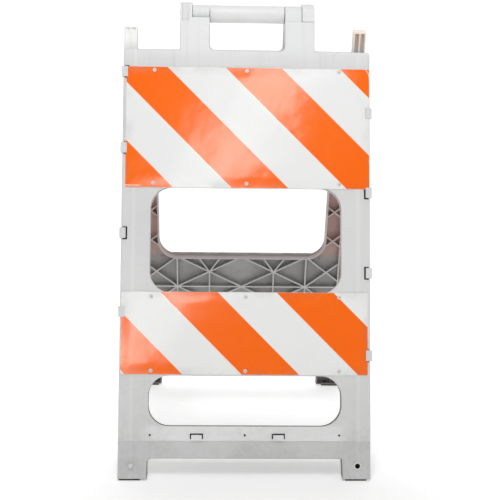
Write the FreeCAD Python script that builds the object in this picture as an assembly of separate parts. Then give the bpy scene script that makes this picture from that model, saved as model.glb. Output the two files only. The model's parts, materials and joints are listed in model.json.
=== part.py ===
"""Folding A-frame traffic barricade: two identical moulded legs on a hinge rod, with striped boards.

Each leg is a thin skin with edge walls, window rims and truss ribs behind it. The legs hang from one
steel rod through interleaved knuckles, with a tubular grip between them. Two sheeted boards are
riveted to each leg.

World frame, millimetres: +Z up, +X to the right seen from the front, -Y to the front. The origin is
on the floor, in the middle between the four feet.
Leg frame: x across the leg, y up the leg from the rod's axis, z out of the leg's face. Distances down
the leg from the rod are written as positive numbers called "down", which the helpers turn into -y.
"""

import FreeCAD
import Part
import math
import os

# ---- driving dimensions ----
LEAN = 16.5  # degrees between each open leg and the vertical
LEG_LENGTH = 1172.0  # rod axis to the floor, along the leg's face
FACE = 28.5  # rod axis plane to the leg's outer face
BOARD_WIDTH = 609.6
UPPER_BOARD_HEIGHT = 304.8
LOWER_BOARD_HEIGHT = 203.2
STRIPE = 101.6  # stripe width, square to the stripe

# ---- moulding ----
SIDE_MARGIN = 4.7  # how far the leg stands out past a board's end, on average
FOLD_GAP = 1.0  # rod axis plane to the leg's inner edges, which keeps the folded legs apart
SKIN = 4.0
WALL = 4.0
RIB = 4.0
RIB_DEPTH = 14.0
CORNER = 5.0  # corner radius of the leg's outline
HOLLOW_CORNER = 1.0
EDGE_ROUND = 3.0  # rounding of the face's outer edges
WINDOW_ROUND = 2.0
RIB_BITE = 1.0  # how far a rib's end is rooted in the wall it meets

# ---- handle and top rail, distances down from the rod ----
RAIL_TOP = 102.0
POST_OUT = 170.0  # outer edge of the two handle posts, from the middle
POST_IN = 95.0
POST_TOP_LEFT = 16.6
POST_TOP_RIGHT = 25.0  # the other leg's stop tooth lands on this edge
POST_FILLET = 13.0
RAIL_HEIGHT = 44.0  # top rail's edge to the upper board

# ---- bottom rail and feet, heights up from the floor along the leg ----
FOOT_WIDTH = 71.5
FOOT_GAP = 55.0
FOOT_FILLET = 12.0
RIGHT_FOOT_FILLET = 3.0
RIGHT_FOOT_SLANT = 3.5  # how much narrower the right foot is at its sole
STEP_HEIGHT = 97.3  # below this line the face is set back
STEP_DEPTH = 2.5
RAIL_UP = 133.5  # bottom rail's top edge

# ---- windows ----
STILE = 72.0  # side margin of the windows
WINDOW_SHARE = 0.6736  # the upper window's share of the leg length left between boards and rails
BOARD_LAP = 2.7  # how far a board reaches past a window's edge, on average
UPPER_WINDOW_R = 54.0
LOWER_WINDOW_R = 51.0

# ---- truss ribs ----
STILE_RIB_IN = 26.5  # upright rib inside each stile, in from the leg's side
BAY_SHARE = 0.604  # width of a truss bay over half the leg's width
STRUT_SPREAD = 34.0
OUTER_BAY_DROP = 0.2  # how far the outer bays' diagonals miss the corners, over the bay's height
PANEL_ROWS = 3  # rows of crossed bays behind the upper board
RAIL_HALF_BAYS = 2  # half bays to each side of the middle of the bottom rail
STILE_X_RISE = 38.0
STILE_X_PITCH = 93.0
STILE_X_START = 26.5
FOOT_X_RISE = 60.0
POST_X_TOP = 44.0

# ---- boards and sheeting ----
UPPER_BOARD_SHIFT = 3.1  # how far each board sits off the middle
LOWER_BOARD_SHIFT = -1.9
BOARD = 2.0
FILM = 0.4
FILM_INSET = 0.6
BOARD_CORNER = 3.0
# middle of an orange stripe along the board's level centre line, from its middle
STRIPE_PHASE = {
    ("front", "upper"): -121.1,
    ("front", "lower"): -36.9,
    ("rear", "upper"): 58.0,
    ("rear", "lower"): -96.0,
}

# ---- rivets ----
RIVET_IN = 77.7  # outer rivets and sign holes, in from the leg's side
RIVET_R = 2.4
RIVET_HEAD_R = 4.9
RIVET_HEAD = 1.7
RIVET_TAIL_R = 3.4
RIVET_TAIL = 5.0
RIVET_CLEARANCE = 0.1
TAIL_ROOM = 0.5
TAIL_ROUND = 1.0
RIVET_DOME = 0.7  # rounding of a rivet's head, over its height
MANDREL_R = 1.2
MANDREL_BALL_R = 2.0
MANDREL_OUT = 1.5  # how far the snapped mandrel stands out of the rivet's tail
UPPER_ROWS = (8.5, 11.0)  # rivet rows, in from the board's top and bottom edges
LOWER_ROWS = (12.0, 9.3)

# ---- board clips ----
CLIP_LENGTH = 26.0
CLIP_SLOT_END = 3.0  # slot left open past each end of a clip
CLIP_REACH = 11.5  # how far a clip reaches in over the board from the leg's edge
CLIP_SLOT_REACH = 15.0
CLIP_PROUD = 4.0  # how far a clip stands out past the leg's side
CLIP_TAB = 2.5
CLIP_ROOT = 8.0
CLIP_ROOT_IN = 1.1  # how far a clip's root reaches into the leg's side
CLIP_ROUND = 1.0
CLIP_PLAY = 0.4
LEFT_CLIPS = (0.1357, 0.3003, 0.4821, 0.6480)  # clips down the leg, over the leg's length
RIGHT_CLIPS = (0.2206, 0.3921, 0.5636, 0.7376)
RAIL_CLIP_UP = 100.0  # lower edge of the two clips on the bottom rail
RAIL_CLIP_HEIGHT = 13.0
RAIL_CLIP_STEM = 3.0
RAIL_CLIP_LIP = 1.0
RAIL_CLIPS = (-118.0, 82.4)

# ---- sign fixing holes in the bottom rail ----
SIGN_HOLE_R = 2.6
SIGN_HOLE_UP = 112.0

# ---- post at the leg's own left shoulder ----
EAR_WIDTH = 32.5
EAR_TOP = 42.5
EAR_WALL = 4.0
EAR_FLUTE = 5.0
EAR_CORNER = 1.5
TIP_ROUND = 1.2  # rounding of the ear's face, the stacking pin's tip and the caps' faces

# ---- hinge and grip ----
ROD_R = 6.35
ROD_ROUND = 0.8
ROD_CLEARANCE = 0.1
BARREL_R = 22.5
BARREL_CLEARANCE = 1.2
KNUCKLE_GAP = 1.0
OUTER_KNUCKLE = 31.0  # length of the leg's outer knuckle along the rod
KNUCKLE_TOP = 23.5  # how far the outer knuckle reaches above the rod's axis
KNUCKLE_BROW = 11.0  # rounding of the outer knuckle's top front edge
KNUCKLE_ROOT = 34.0
TOOTH_TOP = 9.8  # top of the stop tooth above the rod, seen on the other leg's face
TOOTH_REACH = 28.0
TOOTH_FOOT = 0.6  # where the tooth's foot meets the barrel, over the barrel's radius
TOOTH_ROUND = 1.0
STOP_GAP = 0.3
POCKET_FLOOR = 20.0
POCKET_SIDES = (6.0, 8.0)
POCKET_DOWN = 26.0
CAP_R = 9.5
CAP_CLEARANCE = 0.3
CAP_RECESS = 3.0
CAP_PROUD = 1.4
CAP_FIT = 0.02  # radial play of a cap on the rod
ROD_INSET = 1.4  # how far the rod's ends lie inside the knuckles' outer faces
GRIP_R = 22.0
GRIP_WALL = 3.5
GRIP_HUB = 6.0
GRIP_ROUND = 3.0

# ---- feet ----
PAD_HEIGHT = 5.0
PAD_WIDTH = 52.0
PAD_SHIFTS = (-6.8, 0.0)  # each pad's place off the middle of its foot
PAD_EDGE = 2.5
PAD_ROUND = 1.5
STUD_R = 3.0
STUD_HEAD_R = 4.4
STUD_HEAD = 2.5
STUD_SPACING = 30.0
STACK_IN = 32.5  # stacking pin and socket, in from the leg's side
STACK_UP = 38.0
PIN_R = 5.75
PIN_HEIGHT = 8.0
SOCKET_R = 6.2
SOCKET_WALL = 3.4
SOCKET_COLLAR = 3.0
SOCKET_DEPTH = 16.5  # deeper than the ribs, so its bore has one clean length

# ---- small surface features ----
RIDGE_OUT = 184.0
RIDGE = 2.5
RIDGE_HEIGHT = 0.9
GATE_R = 3.0
GATE_HEIGHT = 0.5
GATES_BELOW_BOARD = (22.0, 24.0)  # left and right gates, down from the lower window's top
GATE_ABOVE_RAIL = 26.0
GATE_BELOW_STEP = 20.0

# ---- worked out from the above ----
SLANT = math.radians(LEAN)
HALF = BOARD_WIDTH / 2 + SIDE_MARGIN
AXIS_HEIGHT = LEG_LENGTH * math.cos(SLANT) - FACE * math.sin(SLANT)
UPPER_BOARD_TOP = RAIL_TOP + RAIL_HEIGHT
UPPER_BOARD_END = UPPER_BOARD_TOP + UPPER_BOARD_HEIGHT
LOW_RAIL_TOP = LEG_LENGTH - RAIL_UP
WINDOW_SPACE = LOW_RAIL_TOP - UPPER_BOARD_END - LOWER_BOARD_HEIGHT
LOWER_BOARD_TOP = UPPER_BOARD_END + WINDOW_SHARE * WINDOW_SPACE
LOWER_BOARD_END = LOWER_BOARD_TOP + LOWER_BOARD_HEIGHT
UPPER_WINDOW = (UPPER_BOARD_END - BOARD_LAP, LOWER_BOARD_TOP + BOARD_LAP)
LOWER_WINDOW = (LOWER_BOARD_END + BOARD_LAP, LOW_RAIL_TOP)
STEP_DOWN = LEG_LENGTH - STEP_HEIGHT
FOOT_GAP_TOP = LEG_LENGTH - FOOT_GAP
WINDOW_HALF = HALF - STILE
STILE_RIB = HALF - STILE_RIB_IN
BAY = BAY_SHARE * HALF
RIVET_SPACING = HALF - RIVET_IN
STACK_OUT = HALF - STACK_IN
STACK_DOWN = LEG_LENGTH - STACK_UP
LOW_FACE = FACE - STEP_DEPTH
SKIN_BACK = FACE - SKIN
BOARD_FACE = FACE + BOARD
FILM_FACE = BOARD_FACE + FILM
INNER_KNUCKLE = (POST_IN + KNUCKLE_GAP, POST_OUT - OUTER_KNUCKLE - KNUCKLE_GAP)
ROD_END = POST_OUT - ROD_INSET
BELOW = 1.02 * LEG_LENGTH  # well past the floor, before the feet are trimmed
PAST = 1.0  # how far a cutting shape runs past the face it opens
SAME = 1e-6  # distances closer than this count as equal
# round injection gates left standing on the face, as (across, down)
GATES = (
    (-STACK_OUT, LOWER_WINDOW[0] + GATES_BELOW_BOARD[0]),
    (STACK_OUT, LOWER_WINDOW[0] + GATES_BELOW_BOARD[1]),
    (STACK_OUT, LOWER_WINDOW[1] - GATE_ABOVE_RAIL),
    (0.0, STEP_DOWN + GATE_BELOW_STEP),
)
BOARDS = {
    "upper": {
        "top": UPPER_BOARD_TOP,
        "height": UPPER_BOARD_HEIGHT,
        "shift": UPPER_BOARD_SHIFT,
        "rows": UPPER_ROWS,
    },
    "lower": {
        "top": LOWER_BOARD_TOP,
        "height": LOWER_BOARD_HEIGHT,
        "shift": LOWER_BOARD_SHIFT,
        "rows": LOWER_ROWS,
    },
}
X_AXIS = FreeCAD.Vector(1, 0, 0)
Z_AXIS = FreeCAD.Vector(0, 0, 1)
HALF_TURN = FreeCAD.Placement(FreeCAD.Vector(), FreeCAD.Rotation(Z_AXIS, 180.0))


# ---- frames ----
def front_placement():
    """Leg frame to world, for the front leg."""
    turn = FreeCAD.Rotation(X_AXIS, 90.0 - LEAN)
    return FreeCAD.Placement(FreeCAD.Vector(0, 0, AXIS_HEIGHT), turn)


def placed(shape, placement):
    copy = shape.copy()
    copy.Placement = placement.multiply(copy.Placement)
    return copy


# ---- small shape helpers, all in the leg frame ----
def at(across, down, out=0.0):
    return FreeCAD.Vector(across, -down, out)


def block(across, down, out):
    """Box between (low, high) pairs."""
    size = [pair[1] - pair[0] for pair in (across, down, out)]
    return Part.makeBox(size[0], size[1], size[2], FreeCAD.Vector(across[0], -down[1], out[0]))


def rod_cylinder(radius, across):
    """Cylinder on the rod's axis between two places across the leg."""
    return Part.makeCylinder(radius, across[1] - across[0], FreeCAD.Vector(across[0], 0, 0), X_AXIS)


def peg(radius, across, down, out):
    """Cylinder square to the face, between two heights out of the leg."""
    return Part.makeCylinder(radius, out[1] - out[0], at(across, down, out[0]), Z_AXIS)


def rounded_wire(corners):
    """Closed wire through (point, radius) corners, each turned by a tangent arc of its radius."""
    edges = []
    last_end = None
    first_start = None
    count = len(corners)
    for i, (point, radius) in enumerate(corners):
        before = corners[i - 1][0] - point
        after = corners[(i + 1) % count][0] - point
        before.normalize()
        after.normalize()
        if radius > 0:
            half_angle = before.getAngle(after) / 2
            run = radius / math.tan(half_angle)
            start = point + before * run
            end = point + after * run
            middle = (before + after).normalize() * (radius / math.sin(half_angle) - radius) + point
        else:
            start = end = point
        if last_end is not None and last_end.distanceToPoint(start) > SAME:
            edges.append(Part.LineSegment(last_end, start).toShape())
        if radius > 0:
            edges.append(Part.Arc(start, middle, end).toShape())
        if first_start is None:
            first_start = start
        last_end = end
    edges.append(Part.LineSegment(last_end, first_start).toShape())
    return Part.Wire(edges)


def rounded_face(corners):
    return Part.Face(rounded_wire(corners))


def plate(corners, out):
    """Prism of a rounded outline, given as (across, down, radius), between two heights."""
    face = rounded_face([(at(a, d, out[0]), r) for a, d, r in corners])
    return face.extrude(FreeCAD.Vector(0, 0, out[1] - out[0]))


def rectangle(across, down, radius):
    a0, a1 = across
    d0, d1 = down
    return [(a0, d0, radius), (a1, d0, radius), (a1, d1, radius), (a0, d1, radius)]


def soften(solid, radius, keep):
    """Fillets the edges for which keep(edge) is true."""
    edges = [e for e in solid.Edges if keep(e)]
    return solid.makeFillet(radius, edges)


def lies_at(edge, height):
    return all(abs(v.Z - height) < SAME for v in edge.Vertexes)


def above_height(height):
    """World half-space above a height, in the leg frame."""
    size = 3 * LEG_LENGTH
    box = Part.makeBox(size, size, size, FreeCAD.Vector(-size / 2, -size / 2, height))
    return placed(box, front_placement().inverse())


# ---- leg ----
def upper_outline(inset):
    """Leg outline above the face's step, moved in by inset."""
    side = HALF - inset
    corner = CORNER if inset == 0 else HOLLOW_CORNER
    return [
        (-side, STEP_DOWN, 0.0),
        (-side, RAIL_TOP + inset, corner),
        (-POST_OUT + inset, RAIL_TOP + inset, 0.0),
        (-POST_OUT + inset, POST_TOP_LEFT + inset, corner),
        (-POST_IN - inset, POST_TOP_LEFT + inset, corner),
        (-POST_IN - inset, RAIL_TOP + inset, POST_FILLET + inset),
        (POST_IN + inset, RAIL_TOP + inset, POST_FILLET + inset),
        (POST_IN + inset, POST_TOP_RIGHT + inset, corner),
        (POST_OUT - inset, POST_TOP_RIGHT + inset, corner),
        (POST_OUT - inset, RAIL_TOP + inset, 0.0),
        (side, RAIL_TOP + inset, corner),
        (side, STEP_DOWN, 0.0),
    ]


def lower_outline(inset, top):
    """Leg outline below the face's step: the bottom rail and the two feet."""
    side = HALF - inset
    foot = HALF - FOOT_WIDTH + inset
    gap = FOOT_GAP_TOP - inset
    return [
        (-side, top, 0.0),
        (side, top, 0.0),
        (side, BELOW, 0.0),
        (foot + RIGHT_FOOT_SLANT, BELOW, 0.0),
        (foot, gap, RIGHT_FOOT_FILLET + inset),
        (-foot, gap, FOOT_FILLET + inset),
        (-foot, BELOW, 0.0),
        (-side, BELOW, 0.0),
    ]


def windows(grow, out):
    """The two window openings as prisms, grown by grow."""
    prisms = []
    for (top, bottom), radius in ((UPPER_WINDOW, UPPER_WINDOW_R), (LOWER_WINDOW, LOWER_WINDOW_R)):
        half = WINDOW_HALF + grow
        corner = min(radius, (bottom - top) / 2 - PAST) + grow
        outline = rectangle((-half, half), (top - grow, bottom + grow), corner)
        prisms.append(plate(outline, out))
    return prisms


def leg_blank():
    """Full-depth leg with its windows cut and its face edges rounded."""
    upper = plate(upper_outline(0.0), (FOLD_GAP, FACE))
    upper = soften(upper, EDGE_ROUND, lambda e: lies_at(e, FACE))
    lower = plate(lower_outline(0.0, STEP_DOWN - WALL), (FOLD_GAP, LOW_FACE))
    below_step = PAST - STEP_DOWN
    lower = soften(lower, EDGE_ROUND, lambda e: lies_at(e, LOW_FACE) and e.BoundBox.YMin < below_step)
    upper = upper.cut(windows(0.0, (0.0, FACE + PAST)))
    side = WINDOW_HALF + PAST

    def on_window(edge):
        box = edge.BoundBox
        between = -LOWER_WINDOW[1] - PAST < box.YMin and box.YMax < -UPPER_WINDOW[0] + PAST
        return lies_at(edge, FACE) and box.XMin > -side and box.XMax < side and between

    upper = soften(upper, WINDOW_ROUND, on_window)
    return upper.fuse(lower)


def pocket():
    """The hollow behind the skin, which leaves the edge walls, rims and the foot's floor."""
    upper = plate(upper_outline(WALL), (0.0, SKIN_BACK))
    lower = plate(lower_outline(WALL, STEP_DOWN - PAST), (0.0, SKIN_BACK - STEP_DEPTH))
    shallow = block((-HALF, HALF), (STEP_DOWN - SKIN, BELOW), (SKIN_BACK - STEP_DEPTH, FACE))
    hollow = upper.cut(shallow).fuse(lower)
    hollow = hollow.cut(windows(WALL, (-PAST, FACE)))
    return hollow.common(above_height(PAD_HEIGHT + WALL))


def rib_strip(start, end):
    """Flat outline of one straight rib, as a face at the skin's back."""
    direction = (end - start).normalize()
    side = FreeCAD.Vector(-direction.y, direction.x, 0) * (RIB / 2)
    run = direction * (RIB / 2)
    corners = [start - run + side, end + run + side, end + run - side, start - run - side]
    return Part.Face(Part.makePolygon(corners + [corners[0]]))


def cross(across, down):
    """Two ribs on the diagonals of a bay."""
    a0, a1 = across
    d0, d1 = down
    return [(a0, d0, a1, d1), (a0, d1, a1, d0)]


def rib_lines():
    """Every rib's centre line as (across, down, across, down)."""
    lines = []
    bays = [(-STILE_RIB, -BAY), (-BAY, 0.0), (0.0, BAY), (BAY, STILE_RIB)]
    # behind the upper board: three rows of crossed bays
    top, bottom = RAIL_TOP + WALL / 2, UPPER_WINDOW[0] - WALL / 2
    rows = [top + (bottom - top) * i / PANEL_ROWS for i in range(PANEL_ROWS + 1)]
    for high, low in zip(rows, rows[1:]):
        for bay in bays:
            lines += cross(bay, (high, low))
    for row in rows[1:-1]:
        lines.append((-HALF, row, HALF, row))
    for place in (-BAY, 0.0, BAY):
        lines.append((place, top, place, bottom))
    # middle rail: two mirrored rows, with short struts to the chords
    top, bottom = UPPER_WINDOW[1] + WALL / 2, LOWER_WINDOW[0] - WALL / 2
    middle = (top + bottom) / 2
    for chord, far in ((top, middle), (bottom, middle)):
        for bay in bays[1:3]:
            lines += cross(bay, (chord, far))
        drop = OUTER_BAY_DROP * (far - chord)
        for side in (-1, 1):
            lines.append((side * BAY, chord, side * STILE_RIB, far - drop))
            lines.append((side * BAY, far, side * STILE_RIB, chord + drop))
        for centre in (-BAY / 2, BAY / 2):
            knot = (chord + far) / 2
            lines.append((centre, knot, centre, far))
            for strut in (-STRUT_SPREAD, STRUT_SPREAD):
                lines.append((centre, knot, centre + strut, chord))
    lines.append((-HALF, middle, HALF, middle))
    for place in (-BAY, BAY):
        lines.append((place, top, place, bottom))
    # bottom rail
    top, bottom = LOWER_WINDOW[1] + WALL / 2, FOOT_GAP_TOP - WALL / 2
    for i in range(-RAIL_HALF_BAYS, RAIL_HALF_BAYS):
        lines += cross((i * BAY / 2, (i + 1) * BAY / 2), (top, bottom))
    for i in range(-RAIL_HALF_BAYS, RAIL_HALF_BAYS + 1):
        lines.append((i * BAY / 2, top, i * BAY / 2, bottom))
    # stiles, shoulders and feet
    for side in (-1, 1):
        lines.append((side * STILE_RIB, RAIL_TOP, side * STILE_RIB, BELOW))
        down = UPPER_WINDOW[0] + STILE_X_START
        while down < LOWER_WINDOW[1]:
            above_rail = down < UPPER_WINDOW[1] - STILE_X_RISE
            if above_rail or down > LOWER_WINDOW[0] + STILE_X_RISE:
                span = (side * WINDOW_HALF, side * STILE_RIB)
                lines += cross(span, (down - STILE_X_RISE / 2, down + STILE_X_RISE / 2))
            down += STILE_X_PITCH
        foot = (side * (HALF - FOOT_WIDTH), side * STILE_RIB)
        lines += cross(foot, (bottom - FOOT_X_RISE, bottom))
        lines.append((side * (HALF - FOOT_WIDTH), bottom, side * HALF, bottom))
        # handle posts
        post = (side * POST_IN, side * POST_OUT)
        lines += cross(post, (POST_X_TOP, RAIL_TOP))
        lines.append((side * POST_IN, RAIL_TOP, side * POST_OUT, RAIL_TOP))
    return lines


def ribs():
    """The rib network behind the skin, rooted a little way into it and into the walls."""
    strips = [rib_strip(at(a, b, 0), at(c, d, 0)) for a, b, c, d in rib_lines()]
    network = strips[0].multiFuse(strips[1:]).removeSplitter()
    solids = [f.extrude(FreeCAD.Vector(0, 0, RIB_DEPTH + RIB_BITE)) for f in network.Faces]
    web = solids[0] if len(solids) == 1 else solids[0].multiFuse(solids[1:])
    web.translate(FreeCAD.Vector(0, 0, SKIN_BACK - RIB_DEPTH))
    trimmed = web.common(leg_envelope(WALL - RIB_BITE))
    return trimmed.cut(windows(WALL - RIB_BITE, (-PAST, FACE + PAST)))


def leg_envelope(inset):
    """The leg's outline moved in by inset, as high as the face allows."""
    upper = plate(upper_outline(inset), (0.0, FACE))
    lower = plate(lower_outline(inset, STEP_DOWN - WALL), (0.0, LOW_FACE - PAST))
    shallow = block((-HALF, HALF), (STEP_DOWN - WALL, BELOW), (LOW_FACE - PAST, FACE))
    return upper.cut(shallow).fuse(lower)


def outer_knuckle():
    """Knuckle at the leg's own left, with the tooth that stops the other leg."""
    fold = 2 * SLANT

    def seen_from_other(down, out):
        """A point on the open other leg's (down, out), in this leg's (out, down)."""
        own_down = down * math.cos(fold) - out * math.sin(fold)
        own_out = -down * math.sin(fold) - out * math.cos(fold)
        return own_out, own_down

    foot_in = seen_from_other(POST_TOP_RIGHT - STOP_GAP, TOOTH_FOOT * BARREL_R)
    foot_out = seen_from_other(POST_TOP_RIGHT - STOP_GAP, TOOTH_REACH)
    crown = seen_from_other(-TOOTH_TOP, TOOTH_REACH)
    section = [
        (FACE, KNUCKLE_ROOT, 0.0),
        (FACE, -KNUCKLE_TOP, KNUCKLE_BROW),
        (crown[0], -KNUCKLE_TOP, EDGE_ROUND),
        (foot_out[0], foot_out[1], TOOTH_ROUND),
        (foot_in[0], foot_in[1], 0.0),
        (0.0, 0.0, 0.0),
        (FOLD_GAP, KNUCKLE_ROOT, 0.0),
    ]
    left = -POST_OUT
    corners = [(FreeCAD.Vector(left, -down, out), radius) for out, down, radius in section]
    body = rounded_face(corners).extrude(FreeCAD.Vector(OUTER_KNUCKLE, 0, 0))
    return body.fuse(rod_cylinder(BARREL_R, (left, left + OUTER_KNUCKLE)))


def knuckle_pocket():
    """Pocket moulded into the front of the outer knuckle and open at its top."""
    across = (POCKET_SIDES[0] - POST_OUT, OUTER_KNUCKLE - POCKET_SIDES[1] - POST_OUT)
    return block(across, (-KNUCKLE_TOP - PAST, POCKET_DOWN), (POCKET_FLOOR, FACE + PAST))


def inner_knuckle():
    """Round knuckle at the leg's own right, webbed down into its post."""
    barrel = rod_cylinder(BARREL_R, INNER_KNUCKLE)
    web = block(INNER_KNUCKLE, (0.0, KNUCKLE_ROOT), (FOLD_GAP, SKIN_BACK))
    return barrel.fuse(web)


def knuckle_room():
    """Space in the posts for the other leg's knuckles."""
    radius = BARREL_R + BARREL_CLEARANCE
    gap = KNUCKLE_GAP / 2
    beside_outer = (-POST_OUT + OUTER_KNUCKLE + gap, -POST_IN + gap)
    beside_inner = (POST_OUT - OUTER_KNUCKLE - gap, POST_OUT + gap)
    return [rod_cylinder(radius, beside_outer), rod_cylinder(radius, beside_inner)]


def ear():
    """Fluted post on the leg's own left shoulder."""
    left = -HALF
    right = left + EAR_WIDTH
    body = plate(rectangle((left, right), (EAR_TOP, RAIL_TOP + WALL), EAR_CORNER), (FOLD_GAP, FACE))
    body = soften(body, TIP_ROUND, lambda e: lies_at(e, FACE) and e.BoundBox.YMax > -RAIL_TOP)
    middle = (left + right) / 2
    web = EAR_WALL / 2
    flutes = []
    for low, high in ((left + EAR_WALL, middle - web), (middle + web, right - EAR_WALL)):
        down = (EAR_TOP + EAR_WALL, RAIL_TOP)
        flutes.append(block((low, high), down, (FACE - EAR_FLUTE, FACE + PAST)))
        flutes.append(block((low, high), down, (0.0, FACE - EAR_FLUTE - EAR_WALL)))
    return body.cut(flutes)


def side_clip(side, down):
    """Hook over a board's edge: its tab, and the slot the mould leaves under it."""
    edge = side * HALF
    half = CLIP_LENGTH / 2

    def span(a, b):
        return (min(a, b), max(a, b))

    outer = edge + side * CLIP_PROUD
    root_in = edge - side * CLIP_ROOT_IN
    tab_out = (FILM_FACE + CLIP_PLAY, FILM_FACE + CLIP_PLAY + CLIP_TAB)
    stem = block(span(root_in, outer), (down - half, down + half), (FACE - CLIP_ROOT, tab_out[1]))
    stem = soften(stem, CLIP_ROUND, lambda e: abs(e.CenterOfMass.x - outer) < SAME)
    tab = block(span(edge - side * CLIP_REACH, edge), (down - half, down + half), tab_out)
    long = half + CLIP_SLOT_END
    slot_across = span(edge - side * CLIP_SLOT_REACH, edge - side * WALL)
    slot = block(slot_across, (down - long, down + long), (SKIN_BACK - PAST, FACE + PAST))
    return stem.fuse(tab), slot


def rail_clip(across):
    """Hook on the bottom rail that takes a sign's lower edge."""
    half = CLIP_LENGTH / 2
    low = LEG_LENGTH - RAIL_CLIP_UP
    top = low - RAIL_CLIP_HEIGHT
    tab_out = (FILM_FACE + CLIP_PLAY, FILM_FACE + CLIP_PLAY + CLIP_TAB)
    stem = block((across - half, across + half), (low - RAIL_CLIP_STEM, low), (SKIN_BACK, tab_out[1]))
    tab = block((across - half, across + half), (top, low - RAIL_CLIP_LIP), tab_out)
    slot_across = (across - half - CLIP_SLOT_END, across + half + CLIP_SLOT_END)
    slot_down = (top - CLIP_SLOT_END, low - RAIL_CLIP_STEM)
    slot = block(slot_across, slot_down, (SKIN_BACK - PAST, FACE + PAST))
    return stem.fuse(tab), slot


def clips():
    """All tabs and all slots."""
    pairs = [side_clip(-1, share * LEG_LENGTH) for share in LEFT_CLIPS]
    pairs += [side_clip(1, share * LEG_LENGTH) for share in RIGHT_CLIPS]
    pairs += [rail_clip(across) for across in RAIL_CLIPS]
    return [tab for tab, _ in pairs], [slot for _, slot in pairs]


def rivet_places(board):
    """(across, down) of a board's six rivets."""
    rows = (board["top"] + board["rows"][0], board["top"] + board["height"] - board["rows"][1])
    return [(column * RIVET_SPACING, row) for row in rows for column in (-1, 0, 1)]


def pad_middles():
    """Each pad's middle across the leg."""
    foot = HALF - FOOT_WIDTH / 2
    return (-foot + PAD_SHIFTS[0], foot + PAD_SHIFTS[1])


def stud_places():
    """Every pad stud's place across the leg."""
    return [middle + side * STUD_SPACING / 2 for middle in pad_middles() for side in (-1, 1)]


def pad_middle_y():
    """World y of the middle of the front feet's underside."""
    ends = []
    for out in (FOLD_GAP, LOW_FACE):
        down = (AXIS_HEIGHT - PAD_HEIGHT + out * math.sin(SLANT)) / math.cos(SLANT)
        ends.append(-down * math.sin(SLANT) - out * math.cos(SLANT))
    return sum(ends) / 2, abs(ends[1] - ends[0])


def stud_cylinder(radius, across, low, high):
    """Upright world cylinder over the front feet."""
    middle, _ = pad_middle_y()
    return Part.makeCylinder(radius, high - low, FreeCAD.Vector(across, middle, low), Z_AXIS)


def stacking_knobs():
    """Stacking pin on the left foot and the collared socket on the right one, not yet bored."""
    socket_out = (LOW_FACE - SOCKET_DEPTH, LOW_FACE + SOCKET_COLLAR)
    socket = peg(SOCKET_R + SOCKET_WALL, STACK_OUT, STACK_DOWN, socket_out)
    tip = LOW_FACE + PIN_HEIGHT
    pin = peg(PIN_R, -STACK_OUT, STACK_DOWN, (LOW_FACE - SKIN, tip))
    return [socket, soften(pin, TIP_ROUND, lambda e: lies_at(e, tip))]


def face_marks():
    """Two low ridges on the top rail and the round gates the mould leaves."""
    marks = []
    for side in (-1, 1):
        across = (side * RIDGE_OUT - RIDGE / 2, side * RIDGE_OUT + RIDGE / 2)
        down = (RAIL_TOP + CORNER, UPPER_BOARD_TOP - RIDGE)
        marks.append(block(across, down, (SKIN_BACK, FACE + RIDGE_HEIGHT)))
    for across, down in GATES:
        face = LOW_FACE if down > STEP_DOWN else FACE
        marks.append(peg(GATE_R, across, down, (face - SKIN, face + GATE_HEIGHT)))
    return marks


def hinge_holes():
    """The rod's bore and the counterbore for its cap."""
    bore = rod_cylinder(ROD_R + ROD_CLEARANCE, (-HALF, HALF))
    return [bore, rod_cylinder(CAP_R + CAP_CLEARANCE, (-POST_OUT - PAST, -POST_OUT + CAP_RECESS))]


def rail_holes():
    """Sign fixing holes in the bottom rail, and the stacking socket's bore."""
    down = LEG_LENGTH - SIGN_HOLE_UP
    out = (SKIN_BACK - RIB_DEPTH - PAST, FACE + PAST)
    holes = [peg(SIGN_HOLE_R, column * RIVET_SPACING, down, out) for column in (-1, 0, 1)]
    return holes + [peg(SOCKET_R, STACK_OUT, STACK_DOWN, (0.0, FACE + SOCKET_COLLAR))]


def rivet_holes(boards):
    """Each rivet's hole in the skin, and room behind it for the rivet's tail."""
    holes = []
    for board in boards:
        for across, down in rivet_places(board):
            holes.append(peg(RIVET_R + RIVET_CLEARANCE, across, down, (SKIN_BACK - PAST, FACE + PAST)))
            holes.append(peg(RIVET_TAIL_R + TAIL_ROOM, across, down, (0.0, SKIN_BACK)))
    return holes


def stud_holes():
    """Holes in the feet's floors for the pads' studs, with room for their heads."""
    to_leg = front_placement().inverse()
    floor = PAD_HEIGHT + WALL
    holes = []
    for across in stud_places():
        holes.append(stud_cylinder(STUD_R + RIVET_CLEARANCE, across, 0.0, floor + PAST))
        holes.append(stud_cylinder(STUD_HEAD_R + TAIL_ROOM, across, floor, floor + STUD_HEAD + PAST))
    return [placed(hole, to_leg) for hole in holes]


def make_leg(boards):
    """One moulded leg in its own frame."""
    leg = leg_blank().cut(pocket()).fuse(ribs())
    tabs, slots = clips()
    leg = leg.cut(knuckle_room() + slots)
    knobs = [outer_knuckle(), inner_knuckle(), ear()] + stacking_knobs() + face_marks()
    leg = leg.multiFuse(tabs + knobs)
    leg = leg.cut(hinge_holes() + [knuckle_pocket()] + rail_holes() + rivet_holes(boards) + stud_holes())
    leg = leg.common(above_height(PAD_HEIGHT))
    return leg.removeSplitter()


# ---- boards ----
def board_rectangle(board, inset, radius):
    half = BOARD_WIDTH / 2 - inset
    across = (board["shift"] - half, board["shift"] + half)
    return rectangle(across, (board["top"] + inset, board["top"] + board["height"] - inset), radius)


def drilled(shape, board):
    """Shape with a board's six rivet holes."""
    out = (FACE - PAST, FILM_FACE + PAST)
    hole_r = RIVET_R + RIVET_CLEARANCE
    return shape.cut([peg(hole_r, across, down, out) for across, down in rivet_places(board)])


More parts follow.
